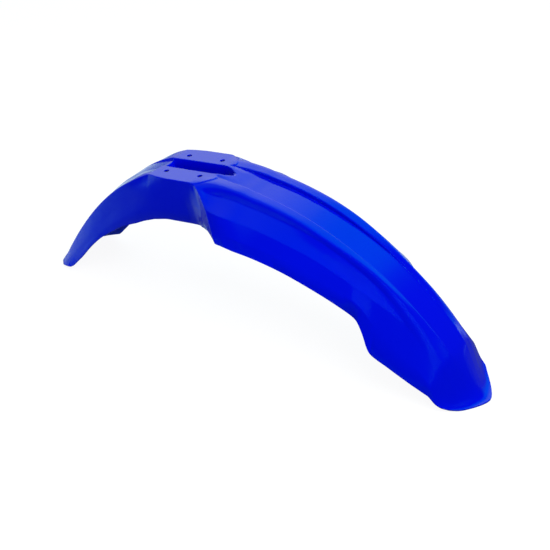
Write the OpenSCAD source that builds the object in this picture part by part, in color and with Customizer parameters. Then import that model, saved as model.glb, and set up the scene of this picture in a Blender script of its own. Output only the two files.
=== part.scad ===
// Front mudguard of an off-road motorcycle: one injection-moulded plastic shell.
// X points forwards along the motorcycle, Y to its left, Z up from the mounting pads.
// The origin is the centre of the four mounting holes, on the top face of the pads.

/* [Mounting pads] */
// Distance between the holes along the motorcycle
hole_pitch_x = 65; // [60:1:70]
// Distance between the holes across the motorcycle
hole_pitch_y = 58.5; // [56:0.5:61]
// Diameter of a mounting hole
hole_d = 8; // [5:0.5:10]
// Width of pad outside the holes
pad_side = 24.75; // [23:0.25:27]
// Length of pad behind the rear holes
pad_back = 22.5; // [20:0.5:25]

/* [Recess between the pads] */
// Width of the recess
recess_w = 28; // [22:1:30]
// Depth of the recess
recess_depth = 20; // [8:1:28]
// Distance from the origin to the front point of the recess
recess_nose = 80; // [76:1:84]

/* [Crown line] */
// Distance from the origin forwards to the tip
front_reach = 484; // [476:1:500]
// Height of the pads above the tip
front_drop = 311; // [290:1:325]
// Handle of the front curve: a larger value bends the tip down more sharply
front_handle = 332; // [320:1:345]
// Distance from the origin backwards to the lip at the end of the tail
tail_reach = 272; // [262:1:285]
// Height of the pads above that lip
tail_drop = 172; // [160:1:185]
// Handle of the tail's curve
tail_handle = 136; // [128:1:142]
// Length of the flared lip that ends the tail
lip_length = 16; // [10:1:20]
// Slope of that lip
lip_slope = 0.88; // [0.8:0.02:1]

/* [Panel and shoulders] */
// Width of the sunken centre panel
panel_w = 50; // [46:1:54]
// Depth of the panel below the shoulders
panel_depth = 6.2; // [3:0.2:8]
// Width across the crests of the shoulders
shoulder_w = 84; // [80:1:88]
// Width across the creases outside the shoulders
crease_w = 97; // [94:1:102]
// Width across the side ridges at their widest
ridge_w = 161; // [154:1:166]
// Depth of the side ridges below the crown
ridge_depth = 28; // [25:1:31]
// Depth of the hollow between crease and ridge
hollow_depth = 1; // [0:0.5:3]

/* [Wings and spoon] */
// Width across the wings
wing_w = 208; // [200:1:216]
// Distance from the origin to the lower rear corner of a wing
wing_rear = 103; // [98:1:108]
// Depth of a wing's rim below the crown
wing_depth = 61; // [56:0.5:66]
// Distance from the origin to the step where a wing ends
wing_end = 319; // [314:1:322]
// Width across the spoon behind the step
spoon_w = 178; // [172:1:184]
// Depth of the spoon's rim below the crown
spoon_depth = 89; // [84:1:94]
// Width across the front corners
tip_w = 118; // [112:1:124]
// Distance of the front corners behind the tip
tip_sweep = 36; // [32:1:40]

/* [Waist and tail] */
// Width across the waist at its lower edge
waist_w = 113; // [110:1:116]
// Width across the end of the tail at its lower edge
tail_w = 122; // [116:1:126]
// Depth of the waist's side walls
waist_depth = 69; // [64:1:74]
// Depth of the side walls at the end of the tail
tail_depth = 35; // [30:1:40]
// How far the end of the side walls slants forward from crease to rim
tail_slant = 29; // [20:1:34]

/* [Plastic] */
// Thickness of the shell
wall = 2.6; // [2:0.1:3.2]

/* [Hidden] */
$fn = 64;

pads_half = hole_pitch_y / 2 + pad_side;
pads_rear = -(hole_pitch_x / 2 + pad_back);
panel_half = panel_w / 2;
shoulder_half = shoulder_w / 2;
crease_half = crease_w / 2;
ridge_half = ridge_w / 2;
recess_half = recess_w / 2;
wing_half = wing_w / 2;
spoon_half = spoon_w / 2;
tip_half = tip_w / 2;
waist_half = waist_w / 2;

// A row is named by the place where it crosses the centre line
tail_end = -(tail_reach + lip_length);
lip_row = -tail_reach;
wall_row = hole_pitch_x / 2 - 18.5;   // front end of the straight waist wall
crease_row = hole_pitch_x / 2 + 7.5;  // foot of the curve that clears the fork leg
wing_row = crease_row + 6;            // rear edge of the wing
crown_row = crease_row + 12;          // end of the flat between the pads
tail_start = pads_rear + 5;
corner_x = front_reach - tip_sweep;   // front corner of the rim
spoon_x = wing_end + 26;              // where the spoon is widest
tail_half = tail_w / 2;

// Place a given share of the way from the origin to the tip
function at(share) = share * front_reach;

// Row spacing: wide on the plain tail and wings, close at the pads and the step
rows = concat(
    [for (i = [0 : 2]) mix(tail_end, lip_row, i / 3)],
    [for (i = [0 : 17]) mix(lip_row, pads_rear - 6, i / 17)],
    [pads_rear - 2, pads_rear, pads_rear + 2, pads_rear + 5],
    [for (i = [1 : 5]) mix(pads_rear + 5, wall_row, i / 5)],
    [for (i = [1 : 6]) mix(wall_row, crease_row, i / 6)],
    [for (i = [0 : 4]) mix(wing_row, wing_row + 16, i / 4)],
    [for (i = [1 : 8]) mix(wing_row + 16, at(0.27), i / 8)],
    [for (i = [1 : 17]) mix(at(0.27), at(0.62), i / 17)],
    [for (i = [1 : 10]) mix(at(0.62), at(0.785), i / 10)],
    [for (i = [1 : 14]) mix(at(0.785), front_reach, i / 14)]
);

// Curves
function clamp01(t) = max(0, min(1, t));
function mix(a, b, t) = a * (1 - t) + b * t;
// Rises from 0 at a to 1 at b and is level at both ends
function ramp(a, b, u) =
    let (t = clamp01((u - a) / (b - a)))
    t * t * (3 - 2 * t);

function slope(st, i) = (st[i + 1][1] - st[i][1]) / (st[i + 1][0] - st[i][0]);
// Tangent at station i that never makes the curve overshoot its stations
function tangent(st, i) =
    i == 0 ? slope(st, 0) :
    i == len(st) - 1 ? slope(st, i - 1) :
    slope(st, i - 1) * slope(st, i) <= 0 ? 0 :
    let (before = st[i][0] - st[i - 1][0], after = st[i + 1][0] - st[i][0])
    3 * (before + after)
    / ((2 * after + before) / slope(st, i - 1) + (after + 2 * before) / slope(st, i));
function span_at(st, u, i = 0) =
    (i >= len(st) - 2 || u < st[i + 1][0]) ? i : span_at(st, u, i + 1);
// Value at u of the smooth curve through stations [place, value]
function along(st, u) =
    u <= st[0][0] ? st[0][1] :
    u >= st[len(st) - 1][0] ? st[len(st) - 1][1] :
    let (
        i = span_at(st, u),
        h = st[i + 1][0] - st[i][0],
        t = (u - st[i][0]) / h,
        s = 1 - t
    )
    (1 + 2 * t) * s * s * st[i][1] + t * s * s * h * tangent(st, i)
    + t * t * (1 + 2 * s) * st[i + 1][1] - t * t * s * h * tangent(st, i + 1);

// Parameter of the cubic Bezier a, a, b, c whose x is given, found by halving
function bezier_t(x, a, b, c, lo = 0, hi = 1, turns = 24) =
    let (t = (lo + hi) / 2)
    turns == 0 ? t :
    let (
        here = a + 3 * (b - a) * t * t * (1 - t) + (c - a) * t * t * t,
        later = c > a ? here < x : here > x
    )
    bezier_t(x, a, b, c, later ? t : lo, later ? hi : t, turns - 1);

// Crown line: flat over the pads, one cubic Bezier to the tip and one to the tail's end,
// with a shallow dip just in front of the recess
dip = [[59, 0], [110, 0.8], [132, 2], [170, 1.2], [220, 0]];
function crown(x) =
    let (
        f = x > crown_row
            ? bezier_t(min(x, front_reach), crown_row, front_handle, front_reach) : 0,
        r = x < tail_start
            ? bezier_t(max(x, lip_row), tail_start, -tail_handle, lip_row) : 0
    )
    -front_drop * pow(f, 3) - tail_drop * pow(r, 3)
    - lip_slope * max(0, lip_row - x) - along(dip, x);

// Rim: half width and depth. Behind the wing they go by row, in front by the rim's own x.
rim_x_rear = [[tail_end, tail_end + tail_slant], [lip_row, lip_row + tail_slant - 9],
    [-250, -238], [-230, -223], [-200, -198], [-150, -150], [wall_row, wall_row + 6],
    [crease_row - 10, crease_row + 4], [crease_row, crease_row + 18],
    [wing_row, wing_rear]];
rim_half_rear = [[tail_end, tail_half], [lip_row, tail_half - 1.5],
    [-220, tail_half - 2.5], [-150, waist_half + 0.5], [-100, waist_half],
    [wall_row, waist_half], [crease_row - 16, waist_half + 1.5],
    [crease_row - 6, waist_half + 7.5], [crease_row, waist_half + 13.5],
    [wing_row, wing_half]];
rim_drop_rear = [[tail_end, tail_depth], [lip_row, tail_depth + 7.5],
    [-250, tail_depth + 12], [-230, waist_depth - 18.5], [-210, waist_depth - 17],
    [-183, waist_depth - 13.5], [-166, waist_depth - 10], [-150, waist_depth - 6],
    [-128, waist_depth - 2.5], [-103, waist_depth + 3], [-84, waist_depth + 5.5],
    [-62, waist_depth + 5.5], [-44, waist_depth + 3.5], [-20, waist_depth],
    [wall_row, waist_depth], [crease_row - 10, waist_depth + 1],
    [crease_row, waist_depth - 4], [wing_row, wing_depth]];
rim_half_front = [[wing_rear, wing_half], [at(0.27), wing_half - 0.5],
    [at(0.33), wing_half - 3], [at(0.41), wing_half - 7], [at(0.52), wing_half - 13],
    [at(0.62), wing_half - 21.5], [wing_end + 1, wing_half - 25],
    [wing_end + 12, mix(wing_half - 25, spoon_half, 0.3)], [spoon_x, spoon_half],
    [mix(spoon_x, corner_x, 0.24), spoon_half - 4.5],
    [mix(spoon_x, corner_x, 0.53), mix(tip_half, spoon_half, 0.63)],
    [mix(spoon_x, corner_x, 0.66), mix(tip_half, spoon_half, 0.52)],
    [mix(spoon_x, corner_x, 0.79), mix(tip_half, spoon_half, 0.42)],
    [mix(spoon_x, corner_x, 0.89), mix(tip_half, spoon_half, 0.3)],
    [mix(spoon_x, corner_x, 0.96), tip_half + 5], [corner_x, tip_half]];
rim_drop_front = [[wing_rear, wing_depth], [at(0.31), wing_depth - 0.5],
    [at(0.62), wing_depth], [wing_end, wing_depth + 1.5],
    [wing_end + 10, mix(wing_depth, spoon_depth, 0.4)], [wing_end + 18, spoon_depth - 2.5],
    [spoon_x, spoon_depth], [mix(spoon_x, corner_x, 0.24), spoon_depth - 3.5],
    [mix(spoon_x, corner_x, 0.53), spoon_depth - 12],
    [mix(spoon_x, corner_x, 0.66), spoon_depth - 17.5],
    [mix(spoon_x, corner_x, 0.79), spoon_depth - 25],
    [mix(spoon_x, corner_x, 0.89), spoon_depth - 32],
    [mix(spoon_x, corner_x, 0.96), spoon_depth - 36], [corner_x, spoon_depth - 40]];
function is_rear(u) = u <= wing_row + 0.001;
function nose(u) = ramp(at(0.826), front_reach, u);
function rim_x(u) =
    is_rear(u) ? along(rim_x_rear, u) :
    u + (wing_rear - wing_row) * (1 - ramp(wing_row, at(0.52), u)) - tip_sweep * nose(u);
function rim_half(u) =
    is_rear(u) ? along(rim_half_rear, u) : along(rim_half_front, rim_x(u));
function rim_z(u) =
    crown(rim_x(u)) - (is_rear(u) ? along(rim_drop_rear, u) : along(rim_drop_front, rim_x(u)));

// The tip is curved in plan: a point at half width y lies this far behind the centre line
nose_power = 1.4;
function sweep(u, y) = tip_sweep * nose(u) * pow(y / rim_half(u), nose_power);
// and this far below it
nose_droop = 49;
function droop(u, y) = nose_droop * ramp(at(0.888), front_reach, u) * pow(y / tip_half, nose_power);

// Recess between the pads
recess_plan = [[tail_end, recess_half - 2], [-120, recess_half], [45, recess_half + 1],
    [recess_nose - 18, recess_half - 2.5], [recess_nose, 4], [recess_nose + 20, 9],
    [front_reach, 9]];
recess_draft = 1.2;
function recess_z(u) =
    recess_depth * ramp(pads_rear - 2, tail_start, u) * (1 - ramp(30, recess_nose, u));

// Panel: its edge, its depth below the shoulders and the valley that carries on to the tail
panel_plan = [[tail_end, panel_half - 3], [0, panel_half - 2.5], [59, panel_half - 2.5],
    [at(0.23), panel_half - 1], [at(0.5), panel_half + 0.5], [at(0.64), panel_half - 0.5],
    [at(0.83), panel_half - 2.5], [at(0.91), panel_half - 4],
    [front_reach, panel_half - 9]];
panel_draft = 0.8;
panel_step = [[57, 0], [80, panel_depth / 2], [at(0.23), panel_depth],
    [at(0.48), panel_depth], [at(0.62), panel_depth * 0.7], [at(0.71), panel_depth / 4],
    [at(0.83), 0.8], [at(0.91), 0.5], [front_reach, 0]];
valley_depth = 6;
function valley(u) =
    valley_depth * ramp(-130, -62, u) * (1 - ramp(pads_rear - 2, pads_rear + 2, u));

// Crest of the shoulder
crest_plan = [[tail_end, shoulder_half - 12], [-200, shoulder_half - 8],
    [-100, shoulder_half - 6], [-50, shoulder_half], [at(0.52), shoulder_half],
    [at(0.7), shoulder_half - 7], [at(0.785), shoulder_half - 9],
    [at(0.91), shoulder_half - 9], [front_reach, shoulder_half - 14]];
crest_drop = [[tail_end, 1], [-183, 2], [-140, 3], [-101, 3], [-60, 0], [crease_row, 0],
    [60, -0.8], [80, -1.2], [at(0.23), 0], [at(0.31), 0], [at(0.52), -0.8],
    [at(0.69), -2.5], [at(0.775), -1.8], [at(0.83), 1.2], [at(0.89), 7.5],
    [front_reach, 17]];

// Crease outside the shoulder: edge of the pads, top of the side walls
crease_plan = [[tail_end, crease_half - 2.5], [-230, crease_half + 0.5],
    [-183, crease_half + 2], [-101, crease_half + 3], [pads_rear - 1, crease_half - 1.5],
    [pads_rear + 7, crease_half + 0.8], [pads_rear + 19, pads_half - 2.2],
    [-10, pads_half], [crease_row - 4, pads_half], [wing_row, pads_half + 3],
    [60, crease_half + 6.5], [80, crease_half + 3.5], [at(0.23), crease_half + 1.5],
    [at(0.41), crease_half - 0.2], [at(0.52), crease_half - 2],
    [at(0.62), crease_half - 5.3], [at(0.7), crease_half - 8.5],
    [at(0.795), crease_half - 5.5], [at(0.91), crease_half - 4.5],
    [front_reach, crease_half - 8.5]];
crease_drop = [[tail_end, 3.5], [-230, 4], [-101, 4.5], [-70, 3], [tail_start, 0],
    [crease_row - 10, 0], [crease_row, 2], [wing_row + 4, 7], [wing_row + 16, 13],
    [80, 15.5], [at(0.23), 14], [at(0.31), 13], [at(0.41), 11.5], [at(0.52), 8.6],
    [at(0.62), 8.5], [at(0.7), 10.6], [at(0.795), 11.5], [at(0.888), 16.5],
    [front_reach, 28]];

// Side ridge
ridge_x_rear = [[tail_end, tail_end + 0.4 * tail_slant], [lip_row, lip_row + 6],
    [-230, -228], [-200, -200], [-150, -150], [wall_row, wall_row],
    [crease_row - 10, crease_row - 3], [crease_row, crease_row + 14],
    [wing_row, wing_rear - 34]];
ridge_plan_rear = [[tail_end, tail_half - 4], [lip_row, tail_half - 6],
    [-230, tail_half - 6.5], [-101, waist_half - 2.5], [-50, waist_half - 1],
    [wall_row, waist_half - 0.5], [crease_row - 16, waist_half + 1],
    [crease_row - 6, waist_half + 5.5], [crease_row, waist_half + 9.5],
    [wing_row, ridge_half - 8]];
ridge_plan_front = [[wing_row, ridge_half - 8], [60, ridge_half - 2.5], [80, ridge_half],
    [at(0.23), ridge_half - 2], [at(0.31), ridge_half - 5.5], [at(0.41), ridge_half - 7.5],
    [at(0.52), ridge_half - 12.5], [at(0.62), ridge_half - 17.5], [at(0.7), ridge_half - 25],
    [at(0.754), ridge_half - 30.5], [at(0.795), ridge_half - 34.5],
    [at(0.91), ridge_half - 29], [at(0.955), ridge_half - 28],
    [front_reach, ridge_half - 32.5]];
ridge_drop_rear = [[tail_end, 12], [lip_row, 17], [-250, 22], [-230, 26], [-183, 31],
    [-150, 35], [-128, 36.5], [-103, 36], [-62, 37], [-20, waist_depth / 2],
    [wall_row, waist_depth / 2], [crease_row - 10, 36], [crease_row, 36],
    [wing_row, ridge_depth + 5]];
ridge_drop_front = [[wing_rear - 34, ridge_depth + 5], [90, ridge_depth],
    [at(0.41), ridge_depth], [at(0.52), ridge_depth - 1], [at(0.62), ridge_depth - 2.8],
    [at(0.7), ridge_depth - 4.6], [at(0.754), ridge_depth - 7.4], [at(0.8), ridge_depth - 9],
    [at(0.878), ridge_depth - 2], [at(0.96), ridge_depth + 9]];

// Skirt line, half way down the wing's side
skirt_x_rear = [[tail_end, tail_end + 0.72 * tail_slant], [lip_row, lip_row + 14],
    [-230, -225], [-200, -199], [-150, -150], [wall_row, wall_row + 3],
    [crease_row - 10, crease_row + 1], [crease_row, crease_row + 16],
    [wing_row, wing_rear - 13]];
skirt_plan_rear = [[tail_end, tail_half - 1.5], [lip_row, tail_half - 3.2],
    [-220, tail_half - 4.2], [-150, waist_half - 0.5], [wall_row, waist_half],
    [crease_row - 16, waist_half + 1.5], [crease_row - 6, waist_half + 6.5],
    [crease_row, waist_half + 11.5], [wing_row, wing_half - 11]];
skirt_plan_front = [[wing_row, wing_half - 11], [60, wing_half - 9.5],
    [at(0.23), wing_half - 8.5], [at(0.41), wing_half - 15], [at(0.52), wing_half - 22],
    [at(0.62), wing_half - 27.5], [wing_end + 1, wing_half - 30],
    [wing_end + 21, spoon_half - 18], [spoon_x + 15, spoon_half - 19],
    [mix(spoon_x, front_reach, 0.4), spoon_half - 23],
    [mix(spoon_x, front_reach, 0.61), spoon_half - 23],
    [mix(spoon_x, front_reach, 0.83), tip_half + 7.5],
    [mix(spoon_x, front_reach, 0.92), tip_half + 5.5], [front_reach, tip_half - 3]];
skirt_drop_rear = [[tail_end, tail_depth - 15], [lip_row, tail_depth - 8],
    [-250, tail_depth + 1], [-230, 40.5], [-183, 44.5], [-150, 49], [-118, 54],
    [-101, 56], [-62, 55.5], [-20, waist_depth - 18], [wall_row, waist_depth - 18],
    [crease_row - 10, waist_depth - 15], [crease_row, waist_depth - 18],
    [wing_row, wing_depth - 10]];
skirt_drop_front = [[wing_rear - 13, wing_depth - 10], [at(0.23), wing_depth - 13.5],
    [at(0.41), wing_depth - 15], [at(0.62), wing_depth - 16], [wing_end - 4, wing_depth - 21.5],
    [wing_end + 4, wing_depth - 21.5], [wing_end + 21, wing_depth - 12],
    [wing_end + 35, wing_depth - 7], [mix(spoon_x, corner_x, 0.29), wing_depth - 5.5],
    [mix(spoon_x, corner_x, 0.53), wing_depth - 8],
    [mix(spoon_x, corner_x, 0.83), wing_depth - 13], [corner_x + 7, wing_depth - 19]];

hollow_plan = [[wing_row, 0], [70, hollow_depth], [at(0.7), hollow_depth * 1.5],
    [at(0.775), hollow_depth], [at(0.795), 0], [front_reach, 0]];

// Where the tip turns down, every height is drawn to the tip's own edge
tip_rise = 9;
function settle(u, p) =
    let (w = ramp(at(0.91), front_reach, u))
    [p.x, p.y, mix(p.z, -front_drop + tip_rise * pow(p.y / tip_half, 4), w)];
// Point of row u at half width y, this far below the crown line
function below(u, y, drop) =
    let (x = u - sweep(u, y))
    [x, y, crown(x) - drop];
function on_crown(u, y, drop) = settle(u, below(u, y, drop + droop(u, y)));

// Half section of row u, from the centre line out to the rim
function half_row(u) =
    let (
        recess_y = along(recess_plan, u),
        panel_y = along(panel_plan, u),
        crest_y = along(crest_plan, u),
        crease_y = along(crease_plan, u),
        floor_drop = along(panel_step, u) + valley(u),
        crest_z = along(crest_drop, u),
        crease_z = along(crease_drop, u),
        ridge_y = is_rear(u) ? along(ridge_plan_rear, u) : along(ridge_plan_front, u),
        ridge_x = (is_rear(u) ? along(ridge_x_rear, u)
            : u + (wing_rear - 34 - wing_row) * (1 - ramp(wing_row, at(0.31), u)))
            - sweep(u, ridge_y),
        ridge_z = crown(ridge_x)
            - (is_rear(u) ? along(ridge_drop_rear, u) : along(ridge_drop_front, ridge_x)),
        skirt_y = is_rear(u) ? along(skirt_plan_rear, u) : along(skirt_plan_front, u),
        skirt_x = (is_rear(u) ? along(skirt_x_rear, u)
            : u + (wing_rear - 13 - wing_row) * (1 - ramp(wing_row, at(0.37), u)))
            - sweep(u, skirt_y),
        skirt_z = crown(skirt_x)
            - (is_rear(u) ? along(skirt_drop_rear, u) : along(skirt_drop_front, skirt_x)),
        crest = below(u, crest_y, crest_z),
        crease = below(u, crease_y, crease_z),
        ridge = [ridge_x, ridge_y, ridge_z],
        hollow = along(hollow_plan, u)
    )
    [
        on_crown(u, 0, floor_drop + recess_z(u)),
        on_crown(u, recess_y - recess_draft, floor_drop + recess_z(u)),
        on_crown(u, recess_y, floor_drop),
        on_crown(u, panel_y - panel_draft, floor_drop),
        on_crown(u, panel_y, valley(u) * 0.4),
        settle(u, crest),
        settle(u, mix(crest, crease, 0.6) + [0, 0, 0.25 * (crease_z - crest_z)]),
        settle(u, crease),
        settle(u, mix(crease, ridge, 0.5) - hollow * [0, 0.6, 0.8]),
        settle(u, ridge),
        settle(u, [skirt_x, skirt_y, skirt_z]),
        settle(u, [rim_x(u), rim_half(u), rim_z(u)])
    ];

// Whole section: the right half mirrored, then the left
function full_row(half) = concat(
    [for (j = [len(half) - 1 : -1 : 1]) [half[j].x, -half[j].y, half[j].z]],
    half
);
outer = [for (u = rows) full_row(half_row(u))];
last_row = len(outer) - 1;
last_col = len(outer[0]) - 1;

// Direction out of the shell of the facet between rows i, i + 1 and columns j, j + 1
function facet_normal(i, j) =
    let (n = cross(outer[i + 1][j + 1] - outer[i][j], outer[i][j + 1] - outer[i + 1][j]))
    n / norm(n);
normals = [for (i = [0 : last_row - 1]) [for (j = [0 : last_col - 1]) facet_normal(i, j)]];
function around(i, j) = [
    for (a = [max(i - 1, 0) : min(i, last_row - 1)])
        for (b = [max(j - 1, 0) : min(j, last_col - 1)])
            normals[a][b]
];
function total(list, i = 0) = i == len(list) - 1 ? list[i] : list[i] + total(list, i + 1);
// The move that lies one wall thickness inside every facet around a point, as nearly as
// one move can: the least-squares answer of n * move = -wall
softness = 0.01;
longest_move = 2 * wall;
function inward(i, j) =
    let (
        list = around(i, j),
        a = total([for (n = list) n.x * n]) + [softness, 0, 0],
        b = total([for (n = list) n.y * n]) + [0, softness, 0],
        c = total([for (n = list) n.z * n]) + [0, 0, softness],
        r = -wall * total(list),
        move = (r.x * cross(b, c) + r.y * cross(c, a) + r.z * cross(a, b))
            / (a * cross(b, c))
    )
    move * min(1, longest_move / norm(move));
inner = [for (i = [0 : last_row]) [for (j = [0 : last_col]) outer[i][j] + inward(i, j)]];

cols = last_col + 1;
count = cols * (last_row + 1);
function quad(a, b, c, d, mirrored) =
    mirrored ? [[a, b, d], [b, c, d]] : [[a, b, c], [a, c, d]];
shell_points = [for (skin = [outer, inner]) for (row = skin) for (p = row) p];
shell_faces = concat(
    [for (i = [0 : last_row - 1]) for (j = [0 : last_col - 1])
        for (f = quad(i * cols + j, i * cols + j + 1, (i + 1) * cols + j + 1,
            (i + 1) * cols + j, 2 * j < last_col)) f],
    [for (i = [0 : last_row - 1]) for (j = [0 : last_col - 1])
        for (f = quad(i * cols + j, i * cols + j + 1, (i + 1) * cols + j + 1,
            (i + 1) * cols + j, 2 * j < last_col)) [f[2] + count, f[1] + count, f[0] + count]],
    [for (i = [0 : last_row - 1])
        for (f = quad(i * cols, (i + 1) * cols, (i + 1) * cols + count, i * cols + count,
            false)) f],
    [for (i = [0 : last_row - 1])
        for (f = quad((i + 1) * cols + last_col, i * cols + last_col,
            i * cols + last_col + count, (i + 1) * cols + last_col + count, true)) f],
    [for (j = [0 : last_col - 1])
        for (f = quad(j + 1, j, j + count, j + 1 + count, false)) f],
    [for (j = [0 : last_col - 1])
        for (f = quad(last_row * cols + j, last_row * cols + j + 1,
            last_row * cols + j + 1 + count, last_row * cols + j + count, false)) f]
);

// The shell with its four mounting holes
module front_mudguard() {
    color([0, 0.06, 0.84])
    difference() {
        polyhedron(points = shell_points, faces = shell_faces, convexity = 8);
        for (x = [-0.5, 0.5] * hole_pitch_x)
            for (y = [-0.5, 0.5] * hole_pitch_y)
                translate([x, y, -2 * wall])
                    cylinder(d = hole_d, h = 4 * wall);
    }
}

front_mudguard();
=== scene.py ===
"""Looks of an off-road front mudguard: one glossy blue moulded shell on a white studio floor."""

from math import radians

import bpy
import numpy as np
from mathutils import Matrix


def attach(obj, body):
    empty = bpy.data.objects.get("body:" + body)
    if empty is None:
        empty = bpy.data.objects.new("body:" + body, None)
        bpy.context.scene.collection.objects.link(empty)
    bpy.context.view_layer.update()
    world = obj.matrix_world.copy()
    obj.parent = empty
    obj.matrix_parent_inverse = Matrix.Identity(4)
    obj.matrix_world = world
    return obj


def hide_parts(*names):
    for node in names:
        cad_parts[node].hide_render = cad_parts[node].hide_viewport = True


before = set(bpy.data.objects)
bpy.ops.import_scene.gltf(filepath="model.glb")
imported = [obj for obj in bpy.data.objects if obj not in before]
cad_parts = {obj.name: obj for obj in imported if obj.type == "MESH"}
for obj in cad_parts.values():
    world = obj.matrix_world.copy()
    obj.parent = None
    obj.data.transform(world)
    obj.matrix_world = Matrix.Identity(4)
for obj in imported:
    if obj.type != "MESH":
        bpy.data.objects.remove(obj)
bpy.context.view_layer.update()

# Crown line of the shell. The real part is one injection moulding of blue polypropylene whose
# spine lies flat over the fork clamp and bends down over the wheel to the tip and to the tail.
# All sizes are in millimetres in the part's own frame: X forwards, Y left, Z up from the pads.
FRONT_REACH, FRONT_DROP, FRONT_HANDLE, FRONT_START = 484.0, 311.0, 332.0, 52.0
TAIL_REACH, TAIL_DROP, TAIL_HANDLE, TAIL_START = 272.0, 172.0, 136.0, -50.0
TAIL_END, LIP_SLOPE = -288.0, 0.88


def through(places, values, u):
    """Smooth curve through values at the places: cubic Hermite spans whose tangents are the
    weighted harmonic mean of the neighbouring slopes, so it never overshoots."""
    places = np.asarray(places, float)
    values = np.asarray(values, float).reshape(len(places), -1)
    u = np.clip(np.asarray(u, float), places[0], places[-1])
    h = np.diff(places)[:, None]
    slope = np.diff(values, axis=0) / h
    tangent = np.empty_like(values)
    tangent[0], tangent[-1] = slope[0], slope[-1]
    before, after = h[:-1], h[1:]
    same = slope[:-1] * slope[1:] > 0
    safe_a, safe_b = np.where(same, slope[:-1], 1), np.where(same, slope[1:], 1)
    tangent[1:-1] = np.where(same, 3 * (before + after) / (
        (2 * after + before) / safe_a + (after + 2 * before) / safe_b), 0)
    i = np.clip(np.searchsorted(places, u, side="right") - 1, 0, len(h) - 1)
    t = ((u - places[i]) / h[i, 0])[:, None]
    s = 1 - t
    return ((1 + 2 * t) * s * s * values[i] + t * s * s * h[i] * tangent[i]
            + t * t * (1 + 2 * s) * values[i + 1] - t * t * s * h[i] * tangent[i + 1])


def along(u, *stations):
    """Smooth curve through (place, value) stations, read at u."""
    places, values = np.array(stations, float).T
    return through(places, values, u)[:, 0]


def ramp(a, b, u):
    """0 before a, 1 after b and 3t^2 - 2t^3 between."""
    t = np.clip((u - a) / (b - a), 0, 1)
    return t * t * (3 - 2 * t)


def bezier_t(x, a, b, c, halvings=30):
    """Parameter of the cubic Bezier a, a, b, c whose x is given, found by halving."""
    low, high = np.zeros_like(x), np.ones_like(x)
    for _ in range(halvings):
        t = (low + high) / 2
        here = a + 3 * (b - a) * t * t * (1 - t) + (c - a) * t ** 3
        later = here < x if c > a else here > x
        low, high = np.where(later, t, low), np.where(later, high, t)
    return (low + high) / 2


def crown(x):
    """Height of the spine: minus drop times the cube of each Bezier's parameter, less a
    shallow dip in front of the recess and the slope of the tail's lip."""
    f = bezier_t(np.clip(x, FRONT_START, FRONT_REACH), FRONT_START, FRONT_HANDLE, FRONT_REACH)
    r = bezier_t(np.clip(x, -TAIL_REACH, TAIL_START), TAIL_START, -TAIL_HANDLE, -TAIL_REACH)
    dip = along(x, (59, 0), (110, 0.8), (132, 2), (170, 1.2), (220, 0))
    lip = LIP_SLOPE * np.maximum(-TAIL_REACH - x, 0)
    return -FRONT_DROP * f ** 3 - TAIL_DROP * r ** 3 - dip - lip


# Section of the shell, row by row: recess, pad or panel, shoulder, crease, hollow, ridge,
# skirt and rim. A row is named by the place u where it crosses the spine. Behind WING_ROW the
# sides are the straight waist and tail; in front they sweep forward into the wings.
WALL_ROW, CREASE_ROW, WING_ROW = 14.0, 40.0, 46.0
PADS_REAR, PADS_HALF = -55.0, 54.0
HALF_WAIST, HALF_WING, HALF_SPOON, HALF_TIP = 56.5, 104.0, 89.0, 59.0
WING_DEPTH, WAIST_DEPTH = 61.0, 69.0
# x of a wing's rear edge at the ridge, skirt and rim, and the row where that lead has run out
RIDGE_REAR, SKIRT_REAR, WING_REAR = 73.0, 90.0, 103.0
RIDGE_SWEPT, SKIRT_SWEPT, RIM_SWEPT = 150.0, 180.0, 250.0
TIP_SWEEP, TIP_DROOP, TIP_RISE, TIP_POWER, RISE_POWER = 36.0, 49.0, 9.0, 1.4, 4
SWEEP_START, DROOP_START, TIP_START = 400.0, 430.0, 440.0
RECESS_DEPTH, RECESS_NOSE, RECESS_DRAFT = 20.0, 80.0, 1.2
VALLEY, VALLEY_SHOULDER, STEP_DRAFT = 6.0, 0.4, 0.8
BEND_PLACE, BEND_RISE = 0.6, 0.25
HOLLOW_IN, HOLLOW_DOWN = 0.6, 0.8


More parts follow.
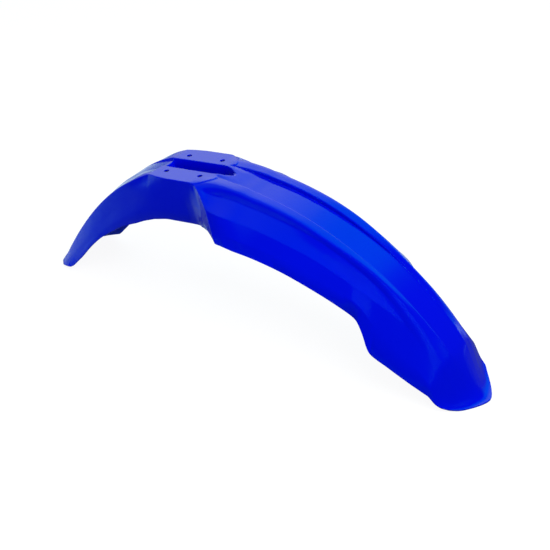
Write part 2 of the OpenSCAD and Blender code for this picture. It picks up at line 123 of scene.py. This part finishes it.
def guides(u):
    """Twelve guide points of the half section at each u, shape (rows, 12, 3). Each has a half
    width and a drop below the spine, both smooth curves through stations along u or x."""
    rear = u <= WING_ROW
    nose = ramp(SWEEP_START, FRONT_REACH, u)
    valley = VALLEY * ramp(-130, -62, u) * (1 - ramp(PADS_REAR - 2, PADS_REAR + 2, u))
    recess = (RECESS_DEPTH * ramp(PADS_REAR - 2, TAIL_START, u)
              * (1 - ramp(WING_ROW, RECESS_NOSE, u)))

    def lead(rear_x, swept):
        """How far a line of the wing lies in front of its rows: rear_x less WING_ROW at the
        wing's rear edge, easing to nothing at the row swept."""
        return (rear_x - WING_ROW) * (1 - ramp(WING_ROW, swept, u))

    rim_x = np.where(rear, along(
        u, (-288, -256), (-272, -249), (-250, -235.2), (-230, -220.5), (-200, -196.5),
        (-150, -150), (14, 20), (30, 44), (40, 58), (41.5, 69), (43, 80), (44.5, 92),
        (46, WING_REAR)), u + lead(WING_REAR, RIM_SWEPT) - TIP_SWEEP * nose)
    rim_y = np.where(rear, along(
        u, (-288, 64.5), (-272, 63), (-220, 61.5), (-150, 57.5), (-100, HALF_WAIST),
        (14, HALF_WAIST), (24, 58), (34, 64), (40, 70), (41.5, 78.5), (43, 87), (44.5, 95.6),
        (46, HALF_WING)), along(
        rim_x, (103, HALF_WING), (130, 103.5), (160, 101), (200, 97), (250, 91), (300, 82.5),
        (320, 79), (331, 82), (345, HALF_SPOON), (370, 84.5), (400, 78), (413, 74.5), (426, 71.5),
        (437, 68), (444, 64), (448, HALF_TIP)))

    def sweep(y):
        """The tip is curved in plan: points lie this far behind the spine."""
        return TIP_SWEEP * nose * (y / rim_y) ** TIP_POWER

    def droop(y):
        """and this far below it."""
        return TIP_DROOP * ramp(DROOP_START, FRONT_REACH, u) * (y / HALF_TIP) ** TIP_POWER

    recess_y = along(u, (-288, 12), (-120, 14), (45, 15), (62, 11.5), (RECESS_NOSE, 4),
                     (100, 9), (484, 9))
    panel_y = along(u, (-288, 22), (0, 22.5), (59, 22.5), (110, 24), (240, 25.5), (310, 24.5),
                    (400, 22.5), (440, 21), (484, 16))
    step = along(u, (57, 0), (80, 3.1), (110, 6.2), (230, 6.2), (300, 4.4), (345, 1.6),
                 (400, 0.8), (440, 0.5), (484, 0))
    crest_y = along(u, (-288, 30), (-200, 34), (-100, 36), (-50, 42), (250, 42), (340, 35),
                    (380, 33), (440, 33), (484, 28))
    crest_drop = along(u, (-288, 1), (-183, 2), (-140, 3), (-101, 3), (-60, 0), (40, 0),
                       (60, -0.8), (80, -1.2), (110, 0), (150, 0), (250, -0.8), (335, -2.5),
                       (375, -1.8), (400, 1.2), (430, 7.5), (484, 17))
    crease_y = along(u, (-288, 46), (-230, 49), (-183, 50.5), (-101, 51.5), (-56, 47),
                     (-48, 49.3), (-36, 51.8), (-10, PADS_HALF), (36, PADS_HALF), (46, 57),
                     (60, 55), (80, 52), (110, 50), (200, 48.3), (250, 46.5), (300, 43.2),
                     (340, 40), (385, 43), (440, 44), (484, 40))
    crease_drop = along(u, (-288, 6), (-272, 3.6), (-230, 4), (-101, 4.5), (-70, 3), (-50, 0),
                        (30, 0), (40, 2), (50, 7), (62, 13), (80, 15.5), (110, 14), (150, 13),
                        (200, 11.5), (250, 8.6), (300, 8.5), (340, 10.6), (385, 11.5),
                        (430, 16.5), (484, 28))
    columns = []

    def point(x, y, z):
        columns.append(np.stack([x + 0 * u, y + 0 * u, z + 0 * u], -1))

    def on_spine(y, drop):
        """Point at half width y, this far below the spine."""
        x = u - sweep(y)
        point(x, y, crown(x) - drop)

    on_spine(0 * u, step + valley + recess)
    for y, drop in ((recess_y - RECESS_DRAFT, recess), (recess_y, 0), (panel_y - STEP_DRAFT, 0)):
        on_spine(y, step + valley + drop + droop(y))
    on_spine(panel_y, VALLEY_SHOULDER * valley + droop(panel_y))
    on_spine(crest_y, crest_drop)
    crest = columns[-1]
    crease_x = u - sweep(crease_y)
    crease = np.stack([crease_x, crease_y, crown(crease_x) - crease_drop], -1)
    bend = (1 - BEND_PLACE) * crest + BEND_PLACE * crease
    bend[:, 2] += BEND_RISE * (crease_drop - crest_drop)
    columns += [bend, crease]

    ridge_y = np.where(rear, along(
        u, (-288, 58), (-272, 57.2), (-230, 57), (-200, 56.2), (-175, 55), (-150, 54),
        (-101, 54), (-50, 55.5), (14, 56), (24, 57.5), (34, 62), (40, 66), (46, 77.5)), along(
        u, (46, 77.5), (60, 79.3), (80, 80.5), (110, 78.5), (150, 75), (200, 73), (250, 68),
        (300, 63), (340, 55.5), (365, 50), (385, 46), (440, 51.5), (462, 52.5), (484, 48)))
    ridge_x = np.where(rear, along(
        u, (-288, -276), (-272, -266), (-230, -228), (-200, -200), (-150, -150), (14, 14),
        (30, 37), (40, 54), (46, RIDGE_REAR)), u + lead(RIDGE_REAR, RIDGE_SWEPT)) - sweep(ridge_y)
    ridge_drop = np.where(rear, along(
        u, (-288, 16.5), (-272, 19), (-250, 25.5), (-230, 30), (-200, 32), (-183, 33.5),
        (-150, 35), (-128, 36.5), (-103, 36), (-62, 37), (-20, 34.5), (14, 34.5), (30, 36),
        (40, 36), (46, 28)), along(
        ridge_x, (73, 28), (90, 28), (200, 28), (250, 27), (300, 25.2), (340, 23.4),
        (365, 20.6), (388, 19), (425, 26), (465, 37)))
    ridge = np.stack([ridge_x, ridge_y, crown(ridge_x) - ridge_drop], -1)
    hollow = along(u, (46, 0), (70, 1), (340, 1.5), (375, 1), (385, 0), (484, 0))
    middle = (crease + ridge) / 2
    corner = along(u, (-101, 0), (-56, 2.6), (-48, 1.7), (-36, 0.7), (-10, 0))
    point(middle[:, 0], middle[:, 1] + corner - HOLLOW_IN * hollow,
          middle[:, 2] - HOLLOW_DOWN * hollow)
    columns.append(ridge)

    skirt_y = np.where(rear, along(
        u, (-288, 62), (-272, 60.3), (-220, 58.8), (-150, 56.2), (14, 56.3), (24, 58),
        (34, 63), (40, 68), (46, 93)), along(
        u, (46, 93), (60, 94.5), (110, 95.5), (200, 89), (250, 82), (300, 76.5), (320, 74),
        (340, 71), (360, 70), (400, 66), (460, 66.5), (473, 64.5), (484, 56)))
    skirt_x = np.where(rear, along(
        u, (-288, -265), (-272, -256), (-230, -223.5), (-200, -198), (-150, -150), (14, 17),
        (30, 41), (40, 56), (46, SKIRT_REAR)), u + lead(SKIRT_REAR, SKIRT_SWEPT)) - sweep(skirt_y)
    skirt_drop = np.where(rear, along(
        u, (-288, 27.5), (-272, 29), (-250, 36.5), (-230, 40.5), (-183, 44.5), (-150, 49),
        (-118, 54), (-101, 56), (-62, 55.5), (-20, 51), (14, 51), (30, 54), (40, 51),
        (46, 51)), along(
        skirt_x, (90, 51), (110, 47.5), (200, 46), (300, 45), (315, 39.5), (323, 39.5),
        (340, 49), (354, 54), (375, 55.5), (400, 53), (430, 48), (455, 42)))
    point(skirt_x, skirt_y, crown(skirt_x) - skirt_drop)

    rim_drop = np.where(rear, along(
        u, (-288, 37.2), (-272, 42.9), (-250, 47.4), (-230, 50.9), (-210, 52.2), (-183, 55.5),
        (-166, 59), (-150, 63), (-128, 66.5), (-103, 72), (-84, 74.5), (-62, 74.5),
        (-44, 72.5), (-20, WAIST_DEPTH), (14, WAIST_DEPTH), (30, 67.5), (40, 65), (41.5, 61),
        (43, 57.5), (44.5, 58.5), (46, WING_DEPTH)), along(
        rim_x, (103, WING_DEPTH), (150, 60.5), (300, 61), (319, 62.5), (329, 72), (337, 86.5),
        (345, 89), (370, 85.5), (400, 77), (413, 71.5), (426, 64), (437, 57), (444, 53),
        (448, 49)))
    point(rim_x, rim_y, crown(rim_x) - rim_drop)

    half = np.stack(columns, 1)
    settle = ramp(TIP_START, FRONT_REACH, u)[:, None]
    edge = -FRONT_DROP + TIP_RISE * (half[..., 1] / HALF_TIP) ** RISE_POWER
    half[..., 2] = (1 - settle) * half[..., 2] + settle * edge
    return half


def both_sides(half):
    """Mirror the half section: the right side first, then the left."""
    return np.concatenate([half[:, :0:-1] * [1, -1, 1], half], 1)


def softened(u):
    """Guides averaged over a short stretch of rows, which rounds the creases that cross them."""
    reach, weights = 0.35, (1, 2, 3, 2, 1)
    offsets = np.linspace(-reach, reach, len(weights))
    return sum(w * guides(u + d) for w, d in zip(weights, offsets)) / sum(weights)


WALL, LONGEST_MOVE, DAMPING = 2.6, 5.2, 0.01


def inner_skin(outer):
    """Move each point to lie one wall inside every facet around it: the least-squares move m
    with n . m = -wall for the facets' normals n, slightly damped and never too long."""
    across = outer[1:, 1:] - outer[:-1, :-1]
    along_row = outer[:-1, 1:] - outer[1:, :-1]
    normal = np.cross(across, along_row)
    normal /= np.linalg.norm(normal, axis=-1, keepdims=True)
    rows, cols = outer.shape[:2]
    square = np.zeros((rows, cols, 3, 3)) + DAMPING * np.eye(3)
    total = np.zeros((rows, cols, 3))
    product = normal[..., :, None] * normal[..., None, :]
    for i in (0, 1):
        for j in (0, 1):
            square[i:rows - 1 + i, j:cols - 1 + j] += product
            total[i:rows - 1 + i, j:cols - 1 + j] += normal
    move = np.linalg.solve(square, -WALL * total[..., None])[..., 0]
    length = np.linalg.norm(move, axis=-1, keepdims=True)
    return outer + move * np.minimum(1, LONGEST_MOVE / length)


# Radius and number of points of the fillet on the spine and at each guide out to the skirt
SPINE_FILLET = (8, 3)
FILLETS = ((3, 4), (1.2, 4), (0.6, 3), (2.2, 5), (14, 6), (14, 5), (1.4, 5), (10, 6), (1.6, 5),
           (2.5, 5))
INSIDE_EXTRA, FILLET_SHARE = 1.0, 0.48


def filleted(section, extra=0.0):
    """Round each corner of the section with the quadratic Bezier a, corner, b, where a and b
    lie one radius away on the lines to the neighbours, or just short of half way there."""
    fillets = FILLETS[::-1] + (SPINE_FILLET,) + FILLETS
    columns = [section[:, 0]]
    for k, (radius, count) in enumerate(fillets, 1):
        corner = section[:, k]
        back, ahead = section[:, k - 1] - corner, section[:, k + 1] - corner
        reach = []
        for side in (back, ahead):
            length = np.linalg.norm(side, axis=-1, keepdims=True)
            reach.append(side * np.minimum(
                FILLET_SHARE, (radius + extra) / np.maximum(length, 1e-6)))
        for t in np.linspace(0, 1, count):
            columns.append(corner + (1 - t) ** 2 * reach[0] + t * t * reach[1])
    columns.append(section[:, -1])
    return np.stack(columns, 1)


def stretch(*parts):
    """Rows with the given spacing in each stretch (start, end, spacing)."""
    return np.unique(np.concatenate(
        [np.linspace(a, b, round((b - a) / d) + 1) for a, b, d in parts]))


# The outside takes fine rows. The inside is worked out on coarse rows, so that it can't fold
# where the outside turns sharply, and is then read at the fine ones.
fine = stretch((TAIL_END, -TAIL_REACH, 2), (-TAIL_REACH, -62, 4.2), (-62, -48, 0.7),
               (-48, WALL_ROW, 3.1), (WALL_ROW, 38, 1.5), (38, 48, 0.4), (48, 84, 1),
               (84, 300, 3.4), (300, FRONT_REACH, 2))
coarse = stretch((TAIL_END, -TAIL_REACH, 5.33), (-TAIL_REACH, -61, 11.7), (-61, -57, 4),
                 (-57, -53, 2), (-53, TAIL_START, 3), (TAIL_START, WALL_ROW, 12.8),
                 (WALL_ROW, CREASE_ROW, 4.33), (CREASE_ROW, WING_ROW, 3), (WING_ROW, 62, 4),
                 (62, 130, 8.5), (130, 300, 10), (300, 380, 8), (380, FRONT_REACH, 8.7))
outside = softened(fine)
outside[:, 0, 1] = 0
outside = both_sides(outside)
coarse_rows = both_sides(guides(coarse))
inside = through(coarse, inner_skin(coarse_rows), fine).reshape(len(fine), -1, 3)
outside, inside = filleted(outside), filleted(inside, INSIDE_EXTRA)

# Mounting pads: two flat islands moulded in one with the shell, which the bolts pull up against
# the fork clamp. They stand a little proud of the shoulders, with a rounded outline in front.
PAD_RISE, PAD_SLOPE, PAD_STRIP = 1.3, 2.6, 1.7
PAD_FADE, PAD_HEIGHTS, PAD_WIDTHS = (20, 70), (-12, -4), (15, 20)


def divided(skin, counts):
    """Each strip between two columns divided into its own number of equal strips."""
    return np.concatenate([skin[:, :1]] + [
        skin[:, k:k + 1] + (skin[:, k + 1:k + 2] - skin[:, k:k + 1])
        * (np.arange(1, n + 1) / n)[:, None] for k, n in enumerate(counts)], 1)


def beyond_pads(skin):
    """Lower the skin in front of the pads' outline: a 3t^2 - 2t^3 step that fades out again
    further forward, down the shell's sides and towards the recess."""
    y = np.abs(skin[..., 1])
    outline = along(y.ravel(), (14, 50), (20, 56), (24.6, 61), (34.3, 58), (43.9, 49),
                    (54.2, 36)).reshape(y.shape)
    past = skin[..., 0] - outline
    top = ramp(*PAD_HEIGHTS, skin[..., 2]) * ramp(*PAD_WIDTHS, y)
    skin[..., 2] -= PAD_RISE * top * ramp(0, PAD_SLOPE, past) * (1 - ramp(*PAD_FADE, past))


pad_row = outside[np.searchsorted(fine, PADS_HALF - 4)]
across_pad = np.abs(np.diff(pad_row[:, 1])) * (pad_row[1:, 2] > -10)
counts = np.maximum(1, np.ceil(across_pad / PAD_STRIP)).astype(int)
outside, inside = divided(outside, counts), divided(inside, counts)
beyond_pads(outside)
beyond_pads(inside)


def rounded_edge(out, inn, axis, bulge=0.45, count=3):
    """Close both ends of the two skins along an axis with a half-round edge: the wall's half
    thickness times the cosine, and a bulge past the edge times the sine."""
    out, inn = np.moveaxis(out, axis, 0), np.moveaxis(inn, axis, 0)
    for end, near in ((0, 1), (-1, -2)):
        middle = (out[end] + inn[end]) / 2
        half = (out[end] - inn[end]) / 2
        away = middle - (out[near] + inn[near]) / 2
        away /= np.linalg.norm(away, axis=-1, keepdims=True)
        size = np.linalg.norm(half, axis=-1, keepdims=True)
        angles = np.linspace(0, np.pi / 2, count + 1)[1:]
        new_out = [middle + half * np.cos(a) + away * size * bulge * np.sin(a) for a in angles]
        new_in = [middle - half * np.cos(a) + away * size * bulge * np.sin(a) for a in angles]
        if end == 0:
            out = np.concatenate([np.stack(new_out[::-1]), out])
            inn = np.concatenate([np.stack(new_in[::-1]), inn])
        else:
            out = np.concatenate([out, np.stack(new_out)])
            inn = np.concatenate([inn, np.stack(new_in)])
    return np.moveaxis(out, 0, axis), np.moveaxis(inn, 0, axis)


outside, inside = rounded_edge(outside, inside, 1)
outside, inside = rounded_edge(outside, inside, 0)

rows, cols = outside.shape[:2]
outer_id = np.arange(rows * cols).reshape(rows, cols)
inner_id = outer_id + rows * cols
for edge in (np.s_[0], np.s_[-1], np.s_[:, 0], np.s_[:, -1]):
    inner_id[edge] = outer_id[edge]


def quads(ids):
    """Faces of a grid of point numbers, seen anticlockwise from above."""
    return np.stack([ids[:-1, :-1], ids[1:, :-1], ids[1:, 1:], ids[:-1, 1:]], -1).reshape(-1, 4)


faces = np.concatenate([quads(outer_id), quads(inner_id)[:, ::-1]])
points = np.concatenate([outside.reshape(-1, 3), inside.reshape(-1, 3)]) / 1000
used = np.unique(faces)
renumber = np.zeros(len(points), int)
renumber[used] = np.arange(len(used))
shell_mesh = bpy.data.meshes.new("front_mudguard_shell")
shell_mesh.from_pydata(points[used].tolist(), [], renumber[faces].tolist())
under = shell_mesh.attributes.new("underside", "FLOAT", "POINT")
under.data.foreach_set("value", (used >= rows * cols).astype(np.float32))


def placed(name, data):
    """New object in the scene that holds the data."""
    thing = bpy.data.objects.new(name, data)
    bpy.context.collection.objects.link(thing)
    return thing


shell = placed("front_mudguard_shell", shell_mesh)

# Mounting holes: four plain round holes moulded through the flat pads, with a small lead-in
# at both faces.
HOLE_PITCH_X, HOLE_PITCH_Y, HOLE_R, HOLE_SIDES = 65.0, 58.5, 4.0, 64
HOLE_LEAD, CUTTER_PAST = 0.35, 1.5


def hole_cutter(x, y):
    """Profile of the hole turned about its axis: the bore's radius, with a 45 degree cone that
    runs out through each face."""
    widest = HOLE_R + HOLE_LEAD + CUTTER_PAST
    profile = np.array([(widest, CUTTER_PAST), (HOLE_R, -HOLE_LEAD), (HOLE_R, -WALL + HOLE_LEAD),
                        (widest, -WALL - CUTTER_PAST)])
    turns = np.linspace(0, 2 * np.pi, HOLE_SIDES, endpoint=False)
    ring = np.stack([np.cos(turns), np.sin(turns)], -1)
    height = np.broadcast_to(profile[:, None, 1:], (len(profile), HOLE_SIDES, 1))
    return np.concatenate([profile[:, None, :1] * ring, height], -1) + [x, y, 0]


cutters = []
for x in (-HOLE_PITCH_X / 2, HOLE_PITCH_X / 2):
    for y in (-HOLE_PITCH_Y / 2, HOLE_PITCH_Y / 2):
        grid = hole_cutter(x, y)
        ids = np.arange(grid.shape[0] * HOLE_SIDES).reshape(-1, HOLE_SIDES)
        ends = [ids[0].tolist(), ids[-1, ::-1].tolist()]
        ids = np.concatenate([ids, ids[:, :1]], 1)
        hole_mesh = bpy.data.meshes.new("hole")
        hole_mesh.from_pydata((grid.reshape(-1, 3) / 1000).tolist(), [],
                              quads(ids).tolist() + ends)
        cutters.append(placed("hole", hole_mesh))
        cut = shell.modifiers.new("hole", "BOOLEAN")
        cut.object, cut.operation, cut.solver = cutters[-1], "DIFFERENCE", "EXACT"
bpy.context.view_layer.update()
drilled = bpy.data.meshes.new_from_object(
    shell.evaluated_get(bpy.context.evaluated_depsgraph_get()))
shell.modifiers.clear()
shell.data = drilled
for cutter in cutters:
    bpy.data.objects.remove(cutter)
shell.data.shade_smooth()
SHARP_FROM = 40
shell.data.set_sharp_from_angle(angle=radians(SHARP_FROM))


# Blue plastic. The real colour is moulded in: a saturated royal blue polypropylene, polished
# outside by the mould and left with a fine spark texture underneath. Heights are in metres.
DEEP_BLUE, ROYAL_BLUE = (0.0, 0.001, 0.58, 1), (0.0, 0.002, 0.65, 1)
REFLECTION_TINT = (0.12, 0.85, 1.0, 1)
PEEL_HEIGHT, SPARK_HEIGHT = 0.00001, 0.00006


class Value:
    """A socket that takes part in arithmetic: each operator adds its own Math node."""

    def __init__(self, tree, socket):
        self.tree, self.socket = tree, socket

    def math(self, operation, left, right):
        node = self.tree.nodes.new("ShaderNodeMath")
        node.operation = operation
        for slot, term in zip(node.inputs, (left, right)):
            if isinstance(term, Value):
                self.tree.links.new(term.socket, slot)
            else:
                slot.default_value = term
        return Value(self.tree, node.outputs[0])

    def __add__(self, other):
        return self.math("ADD", self, other)

    def __mul__(self, other):
        return self.math("MULTIPLY", self, other)

    __radd__, __rmul__ = __add__, __mul__


class Finish:
    """Node tree of one material or world, with one method that adds any node."""

    def __init__(self, owner):
        owner.use_nodes = True
        self.tree = owner.node_tree
        self.tree.nodes.clear()

    def node(self, kind, output=0, settings=None, **sockets):
        """Add a node, set its properties, then its sockets by name, and return one output."""
        node = self.tree.nodes.new(kind)
        for name, value in (settings or {}).items():
            setattr(node, name, value)
        for name, value in sockets.items():
            key = int(name[1:]) if name[1:].isdigit() else name.replace("_", " ")
            if isinstance(value, Value):
                self.tree.links.new(value.socket, node.inputs[key])
            else:
                node.inputs[key].default_value = value
        return Value(self.tree, node.outputs[output]) if len(node.outputs) else node

    def eased(self, value, start, end, low, high):
        """low before start, high after end and 3t^2 - 2t^3 between."""
        return self.node("ShaderNodeMapRange", 0, {"interpolation_type": "SMOOTHSTEP"},
                         Value=value, From_Min=start, From_Max=end, To_Min=low, To_Max=high)


plastic = bpy.data.materials.new("blue_plastic")
mix = Finish(plastic)
place = mix.node("ShaderNodeTexCoord", "Object")
underside = mix.node("ShaderNodeAttribute", "Fac", {"attribute_name": "underside"})
flow = mix.node("ShaderNodeTexNoise", 0, Vector=place, Scale=9.0, Detail=3.0)
orange_peel = mix.node("ShaderNodeTexNoise", 0, Vector=place, Scale=260.0, Detail=2.0)
spark = mix.node("ShaderNodeTexNoise", 0, Vector=place, Scale=1900.0, Detail=3.0)
scuff_place = mix.node("ShaderNodeMapping", 0, Vector=place, Scale=(14.0, 240.0, 60.0))
scuff = mix.node("ShaderNodeTexNoise", 0, Vector=scuff_place, Scale=1.0, Detail=5.0)
tone = mix.node("ShaderNodeMix", 2, {"data_type": "RGBA"}, i0=flow,
                i6=DEEP_BLUE, i7=ROYAL_BLUE)
relief = orange_peel * PEEL_HEIGHT + spark * underside * SPARK_HEIGHT
bump = mix.node("ShaderNodeBump", 0, Strength=1.0, Distance=1.0, Height=relief)
surface = mix.node("ShaderNodeBsdfPrincipled", 0, Base_Color=tone,
                   Roughness=0.06 + 0.05 * flow + 0.05 * scuff + 0.3 * underside,
                   Normal=bump, Specular_Tint=REFLECTION_TINT, IOR=1.5)
mix.node("ShaderNodeOutputMaterial", 0, Surface=surface)
shell.data.materials.clear()
shell.data.materials.append(plastic)
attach(shell, "root")
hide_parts("front_mudguard")

# Studio floor: a plain white sheet that the mudguard stands on with its tip and its tail, so
# it leans against the part's own frame by the angle between those two low points.
FLOOR_HALF, FLOOR_GAP, SETTLING = 6.0, 0.0005, 20
skin_points = outside.reshape(-1, 3) / 1000
front_foot = skin_points[skin_points[:, 0] > 0.2]
tail_foot = skin_points[skin_points[:, 0] < -0.15]
lean = 0.0
for _ in range(SETTLING):
    down = np.array([np.sin(lean), 0, -np.cos(lean)])
    low_front = front_foot[np.argmax(front_foot @ down)]
    low_tail = tail_foot[np.argmax(tail_foot @ down)]
    lean = np.arctan2(low_front[2] - low_tail[2], low_front[0] - low_tail[0])
up = np.array([-np.sin(lean), 0, np.cos(lean)])
ahead = np.array([np.cos(lean), 0, np.sin(lean)])
left = np.array([0, 1, 0])
foot = low_front - FLOOR_GAP * up
floor_mesh = bpy.data.meshes.new("studio_floor")
floor_mesh.from_pydata([(foot + FLOOR_HALF * (a * ahead + b * left)).tolist()
                        for a, b in ((-1, -1), (1, -1), (1, 1), (-1, 1))], [], [(0, 1, 2, 3)])
floor = placed("studio_floor", floor_mesh)
# The camera sees white paper with the shadow on it. Other rays see painted light and shade on it:
# a pale sheet behind the mudguard and painted shade, a near-black floor, in front, which darkens
# the floor's reflections in the part's lower faces.
paper = bpy.data.materials.new("studio_paper")
sheet = Finish(paper)
ray = sheet.node("ShaderNodeLightPath", "Is Camera Ray")
seen = sheet.node("ShaderNodeEmission", 0, Color=(1, 1, 1, 1), Strength=0.92)
shade = sheet.node("ShaderNodeBsdfDiffuse", 0, Color=(0.14, 0.14, 0.14, 1))
paper_seen = sheet.node("ShaderNodeAddShader", 0, i0=seen, i1=shade)
position = sheet.node("ShaderNodeTexCoord", "Object")
behind = sheet.node("ShaderNodeVectorMath", "Value", {"operation": "DOT_PRODUCT"},
                    i0=position, i1=(-1.0, 1.0, 0.0))
fade = sheet.eased(behind, -0.05, 0.4, 0.08, 1.0)
# Painted shade: the floor's colour for reflections fades from near black in front to pale behind,
# in place of the shade and light that fall there.
painted_shade_paper = sheet.node("ShaderNodeBsdfDiffuse", 0, Color=(0.02, 0.02, 0.02, 1))
far_bounce = sheet.node("ShaderNodeBsdfDiffuse", 0, Color=(0.85, 0.95, 1.0, 1))
paper_painted_light = sheet.node("ShaderNodeMixShader", 0, i0=fade, i1=painted_shade_paper, i2=far_bounce)
paper_mix = sheet.node("ShaderNodeMixShader", 0, i0=ray, i1=paper_painted_light, i2=paper_seen)
sheet.node("ShaderNodeOutputMaterial", 0, Surface=paper_mix)
floor_mesh.materials.append(paper)

# Studio light: a bright backdrop behind the mudguard and a fainter ceiling over it, white
# towards the tail, bluish towards the tip and ended ahead of it, a dim room on the camera's
# side, and two large soft lamps that show no reflection. The camera itself sees plain white.
world = bpy.data.worlds.new("studio")
bpy.context.scene.world = world
room = Finish(world)
ray = room.node("ShaderNodeLightPath", "Is Camera Ray")
direction = room.node("ShaderNodeTexCoord", "Generated")
part = room.node("ShaderNodeSeparateXYZ", 0, Vector=direction)
forwards, away, above = (Value(room.tree, output) for output in part.socket.node.outputs)
backdrop = room.eased(away, 0.25, 0.5, 0.0, 0.68)
ceiling = room.eased(away, -0.56, -0.40, 0.0, 0.32)
bluer = room.eased(forwards, -0.35, 0.1, 0.0, 1.0)
ended = room.eased(forwards, 0.2, 0.5, 1.0, 0.0)
raised = room.eased(above, -0.05, 0.4, 0.4, 1.0)
dim = room.node("ShaderNodeBackground", 0, Color=(0.97, 0.99, 1.0, 1), Strength=0.06)
white_wall = room.node("ShaderNodeBackground", 0, Color=(1.0, 1.0, 1.0, 1), Strength=1.25)
blue_wall = room.node("ShaderNodeBackground", 0, Color=(0.02, 0.65, 1.0, 1), Strength=1.25)
wall = room.node("ShaderNodeMixShader", 0, i0=bluer, i1=white_wall, i2=blue_wall)
bright = (backdrop + ceiling) * ended * raised
light = room.node("ShaderNodeMixShader", 0, i0=bright, i1=dim, i2=wall)
white = room.node("ShaderNodeBackground", 0, Color=(1, 1, 1, 1), Strength=1.0)
sky = room.node("ShaderNodeMixShader", 0, i0=ray, i1=light, i2=white)
room.node("ShaderNodeOutputWorld", 0, Surface=sky)


def soft_lamp(name, place, aim, size, watts):
    """Square area lamp that looks from its place to the aim point."""
    data = bpy.data.lights.new(name, "AREA")
    data.shape, data.size, data.energy = "SQUARE", size, watts
    lamp = placed(name, data)
    back = np.array(place) - np.array(aim)
    back /= np.linalg.norm(back)
    right = np.cross((0, 0, 1), back)
    right /= np.linalg.norm(right)
    turn = np.eye(4)
    turn[:3, 0], turn[:3, 1], turn[:3, 2], turn[:3, 3] = right, np.cross(back, right), back, place
    lamp.matrix_world = Matrix(turn.tolist())
    lamp.visible_glossy = False


MUDGUARD_MIDDLE = (0.1, 0, -0.15)
soft_lamp("key", (2.1, -0.55, 1.45), MUDGUARD_MIDDLE, 2.4, 84)
soft_lamp("fill", (-0.9, -2.2, 0.25), MUDGUARD_MIDDLE, 1.2, 30)

# Camera: where the photograph was taken from, found from the four holes and the symmetry of
# the outline, with its small roll.
RIGHT = (0.81318907, 0.56435538, -0.14222004)
UP = (-0.15989322, 0.45159676, 0.87777817)
BACK = (0.55960494, -0.6910596, 0.45747015)
PLACE = (1.46148686, -1.65325431, 0.92460853)
FOCAL_PIXELS, IMAGE_PIXELS, SENSOR = 1546.008, 550.0, 36.0
photographer = bpy.data.cameras.new("camera")
photographer.sensor_width = SENSOR
photographer.lens = FOCAL_PIXELS / IMAGE_PIXELS * SENSOR
camera = placed("camera", photographer)
camera.matrix_world = Matrix(list(zip(RIGHT, UP, BACK, PLACE)) + [(0, 0, 0, 1)])
bpy.context.scene.camera = camera
bpy.context.scene.view_settings.view_transform = "Standard"
